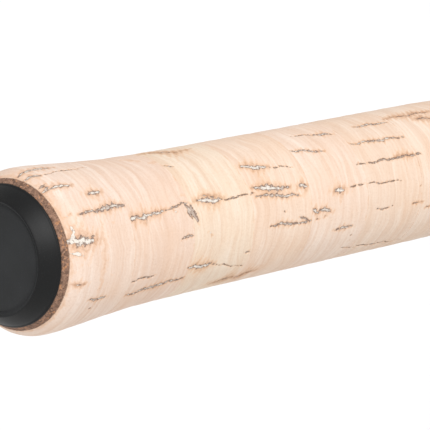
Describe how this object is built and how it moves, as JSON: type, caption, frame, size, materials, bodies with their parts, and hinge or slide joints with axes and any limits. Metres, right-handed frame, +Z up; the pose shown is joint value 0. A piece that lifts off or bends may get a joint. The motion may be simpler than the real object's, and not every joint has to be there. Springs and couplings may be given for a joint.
{
  "type": "fishing rod and reel",
  "caption": "Short spinning rod with a cork grip and a black butt cap, carrying a small open-face reel below its seat.",
  "frame": {"origin": "centre of the butt cap's flat face", "axes": "+X along the rod to its tip, +Z up, away from the reel, +Y to the crank handle's side"},
  "size_m": [0.6567, 0.0944, 0.1182],
  "materials": {
    "rubber": "matt moulded rubber",
    "composite_cork": "rough ground cork bound with dark rubber",
    "cork": "sanded natural cork",
    "carbon": "clear-coated carbon fibre",
    "seat_plastic": "moulded graphite-filled plastic",
    "anodised": "satin gunmetal anodising",
    "guide_steel": "polished stainless wire and strip",
    "guide_ceramic": "polished dark ceramic",
    "housing": "satin dark grey paint on die-cast aluminium",
    "bright_alloy": "bright turned and lacquered alloy",
    "bright_steel": "polished steel",
    "screw_steel": "plain machined steel",
    "bearing_steel": "ground bearing steel",
    "gear_brass": "cut brass",
    "spool_alloy": "bright anodised alloy"
  },
  "bodies": {
    "rod": {"butt_cap": "rubber", "butt_washer": "composite_cork", "rear_cork_ring_1": "cork", "rear_cork_ring_2": "cork", "rear_cork_ring_3": "cork", "rear_cork_ring_4": "cork", "rear_cork_ring_5": "cork", "rear_cork_ring_6": "cork", "rear_cork_ring_7": "cork", "rear_cork_ring_8": "cork", "seat_trim_ring": "anodised", "reel_seat": "seat_plastic", "fixed_hood": "anodised", "fore_grip": "cork", "winding_check": "anodised", "blank": "carbon", "guide_frame_1": "guide_steel", "guide_frame_2": "guide_steel", "guide_frame_3": "guide_steel", "guide_frame_4": "guide_steel", "guide_ring_1": "guide_ceramic", "guide_ring_2": "guide_ceramic", "guide_ring_3": "guide_ceramic", "guide_ring_4": "guide_ceramic", "tip_frame": "guide_steel", "tip_ring": "guide_ceramic", "reel_body": "housing", "side_cover": "housing", "rear_guard": "anodised", "cover_screw_1": "screw_steel", "cover_screw_2": "screw_steel", "cover_screw_3": "screw_steel", "pinion_bearing": "bearing_steel", "one_way_clutch": "bearing_steel", "crank_bearing_cover": "bearing_steel", "crank_bearing_body": "bearing_steel"},
    "sliding_hood": {"sliding_hood": "anodised"},
    "lock_nut": {"lock_nut": "anodised"},
    "rotor": {"rotor": "housing", "pinion": "gear_brass", "rotor_nut": "screw_steel", "bail_screw_upper": "screw_steel", "bail_screw_lower": "screw_steel"},
    "bail": {"bail_lever": "bright_alloy", "bail_cam": "housing", "bail_wire": "bright_steel"},
    "line_roller": {"line_roller": "bright_steel"},
    "crank": {"crank_shaft": "screw_steel", "drive_gear": "gear_brass", "handle_arm": "anodised", "screw_cap": "anodised"},
    "handle_knob": {"handle_knob": "rubber"},
    "oscillation_gear": {"oscillation_gear": "gear_brass"},
    "main_shaft": {"main_shaft": "screw_steel", "oscillation_slider": "gear_brass"},
    "spool": {"spool": "spool_alloy", "drag_washer_stack": "screw_steel"},
    "drag_knob": {"drag_knob": "rubber"},
    "anti_reverse_lever": {"anti_reverse_lever": "rubber"}
  },
  "joints": [
    {"name": "rotor_spin", "type": "hinge", "parent": "rod", "child": "rotor", "pos_m": [0.18574, 0, -0.052], "axis": [1, 0, 0], "continuous": true},
    {"name": "crank_turn", "type": "hinge", "parent": "rod", "child": "crank", "pos_m": [0.14574, 0, -0.058], "axis": [0, 1, 0], "continuous": true},
    {"name": "oscillation_turn", "type": "hinge", "parent": "rod", "child": "oscillation_gear", "pos_m": [0.13314, 0.005, -0.058], "axis": [0, 1, 0], "continuous": true},
    {"name": "spool_stroke", "type": "slide", "parent": "rod", "child": "main_shaft", "axis": [1, 0, 0], "range_m": [0, 0.008]},
    {"name": "spool_spin", "type": "hinge", "parent": "main_shaft", "child": "spool", "pos_m": [0.20174, 0, -0.052], "axis": [1, 0, 0], "continuous": true},
    {"name": "drag_knob_turn", "type": "hinge", "parent": "main_shaft", "child": "drag_knob", "pos_m": [0.21574, 0, -0.052], "axis": [1, 0, 0], "range_deg": [0, 900]},
    {"name": "bail_flip", "type": "hinge", "parent": "rotor", "child": "bail", "pos_m": [0.20574, 0, -0.052], "axis": [0, 0, 1], "range_deg": [0, 110]},
    {"name": "line_roller_spin", "type": "hinge", "parent": "bail", "child": "line_roller", "pos_m": [0.20574, -0.01, -0.0268], "axis": [0, 0, 1], "continuous": true},
    {"name": "handle_knob_spin", "type": "hinge", "parent": "crank", "child": "handle_knob", "pos_m": [0.14574, 0.05, -0.1], "axis": [0, 1, 0], "continuous": true},
    {"name": "anti_reverse_turn", "type": "hinge", "parent": "rod", "child": "anti_reverse_lever", "pos_m": [0.13474, 0, -0.0786], "axis": [0, 0, 1], "range_deg": [0, 35]},
    {"name": "hood_slide", "type": "slide", "parent": "rod", "child": "sliding_hood", "axis": [1, 0, 0], "range_m": [0, 0.008]},
    {"name": "lock_nut_turn", "type": "hinge", "parent": "sliding_hood", "child": "lock_nut", "pos_m": [0.18254, 0, 0], "axis": [1, 0, 0], "range_deg": [0, 1930]}
  ],
  "couplings": [
    {"joint": "crank_turn", "follows": "rotor_spin", "ratio": 0.2},
    {"joint": "oscillation_turn", "follows": "rotor_spin", "ratio": -0.1},
    {"joint": "lock_nut_turn", "follows": "hood_slide", "rad_per_m": 4188.8}
  ]
}
